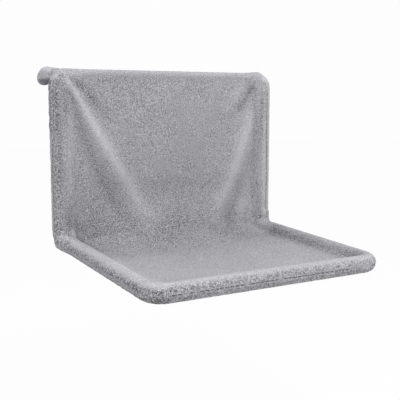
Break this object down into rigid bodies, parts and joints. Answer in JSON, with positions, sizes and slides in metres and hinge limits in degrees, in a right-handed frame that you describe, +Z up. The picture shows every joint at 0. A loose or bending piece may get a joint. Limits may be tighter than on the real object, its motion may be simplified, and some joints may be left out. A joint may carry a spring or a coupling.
{
  "type": "hanging radiator cat bed",
  "caption": "Cat bed that hangs by two hooks over a radiator: a knock-down tube frame with spring buttons in a grey plush cover that forms rim, back and seat.",
  "frame": {"origin": "midway between the two hooks, in the corner between the rear face of the uprights' covers and the underside of the crowns, where the top front edge of a radiator comes", "axes": "X across the bed to its own left as it faces away from the radiator, that is to the viewer's right; Y back over the radiator; Z up"},
  "size_m": [0.4626, 0.4794, 0.3462],
  "materials": {
    "frame_tube": "satin grey powder coat",
    "bright_steel": "zinc plated",
    "cap_plastic": "moulded, matt",
    "plush": "short deep plush, silver grey",
    "closure_tape": "hook and loop tape"
  },
  "bodies": {
    "bed": {"hook_tube_left": "frame_tube", "corner_tube_left": "frame_tube", "hook_tube_right": "frame_tube", "corner_tube_right": "frame_tube", "front_tube": "frame_tube", "hook_end_cap_left": "cap_plastic", "hook_end_cap_right": "cap_plastic", "button_spring_upper_left": "bright_steel", "button_spring_upper_right": "bright_steel", "button_spring_lower_left": "bright_steel", "button_spring_lower_right": "bright_steel", "cross_channel": "frame_tube", "rivet_nut_left": "bright_steel", "cross_screw_left": "bright_steel", "rivet_nut_right": "bright_steel", "cross_screw_right": "bright_steel", "upright_cover_left": "plush", "hook_cover_left": "plush", "rim_cover_left": "plush", "upright_cover_right": "plush", "hook_cover_right": "plush", "rim_cover_right": "plush", "rim_cover_front": "plush", "sling_panel": "plush", "top_hem": "plush", "rear_panel": "plush", "under_panel": "plush", "closure_hook_strip": "closure_tape", "closure_loop_strip": "closure_tape"},
    "button_upper_left": {"snap_button_upper_left": "bright_steel"},
    "button_upper_right": {"snap_button_upper_right": "bright_steel"},
    "button_lower_left": {"snap_button_lower_left": "bright_steel"},
    "button_lower_right": {"snap_button_lower_right": "bright_steel"}
  },
  "joints": [
    {"name": "press_upper_left", "type": "slide", "parent": "bed", "child": "button_upper_left", "axis": [-1, 0, 0], "range_m": [0, 0.0032], "stiffness_N_per_m": 4000, "springref_m": -0.002, "deforming": ["button_spring_upper_left"]},
    {"name": "press_upper_right", "type": "slide", "parent": "bed", "child": "button_upper_right", "axis": [1, 0, 0], "range_m": [0, 0.0032], "stiffness_N_per_m": 4000, "springref_m": -0.002, "deforming": ["button_spring_upper_right"]},
    {"name": "press_lower_left", "type": "slide", "parent": "bed", "child": "button_lower_left", "axis": [-1, 0, 0], "range_m": [0, 0.0032], "stiffness_N_per_m": 4000, "springref_m": -0.002, "deforming": ["button_spring_lower_left"]},
    {"name": "press_lower_right", "type": "slide", "parent": "bed", "child": "button_lower_right", "axis": [1, 0, 0], "range_m": [0, 0.0032], "stiffness_N_per_m": 4000, "springref_m": -0.002, "deforming": ["button_spring_lower_right"]}
  ]
}
